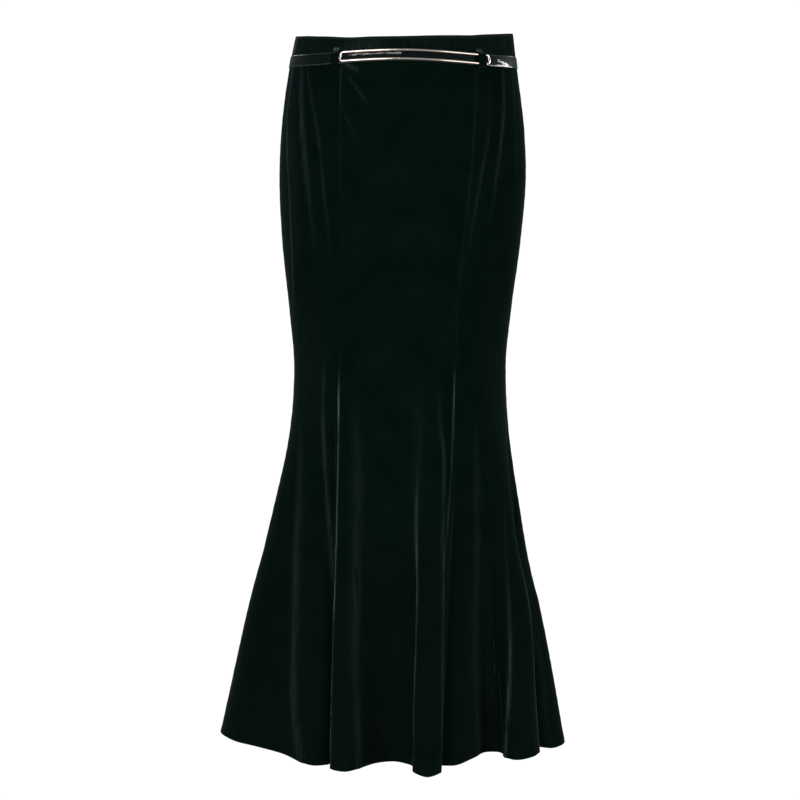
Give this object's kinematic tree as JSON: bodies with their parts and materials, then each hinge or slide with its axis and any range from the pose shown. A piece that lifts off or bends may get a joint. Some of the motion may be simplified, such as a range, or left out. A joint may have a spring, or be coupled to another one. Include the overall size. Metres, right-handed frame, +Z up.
{
  "type": "mermaid fishtail skirt",
  "caption": "Long velvet fishtail skirt, close to the knee and flared in folds to the hem, with a waistband, belt loops and a thin patent belt with an open metal frame; worn form.",
  "frame": {"origin": "centre of the waist, inside the waistband, where the wearer's waist holds the skirt", "axes": "+Z up, -Y to the front of the skirt, +X to the right seen from the front"},
  "size_m": [0.4365, 0.345, 0.8805],
  "materials": {
    "velvet": "soft short pile, dark bottle green with a blue-grey sheen at the folds",
    "patent_leather": "glossy patent",
    "rose_gold": "polished pale rose gold",
    "zip_metal": "lacquered to match the cloth"
  },
  "bodies": {
    "skirt": {"panel_front_centre": "velvet", "panel_front_side_left": "velvet", "panel_front_side_right": "velvet", "panel_back_side_left": "velvet", "panel_back_centre_left": "velvet", "panel_back_centre_right": "velvet", "panel_back_side_right": "velvet", "waistband_front": "velvet", "waistband_back_left": "velvet", "waistband_back_right": "velvet", "belt_loop_front_left": "velvet", "belt_loop_front_right": "velvet", "belt_loop_back_left": "velvet", "belt_loop_back_right": "velvet", "belt_strap": "patent_leather", "belt_frame": "rose_gold", "zip_slider": "zip_metal"},
    "pull": {"zip_pull": "zip_metal"}
  },
  "joints": [
    {"name": "zip_pull_hinge", "type": "hinge", "parent": "skirt", "child": "pull", "pos_m": [0.00519, 0.09299, 0.011], "axis": [1, 0, 0], "range_deg": [0, 150]}
  ]
}
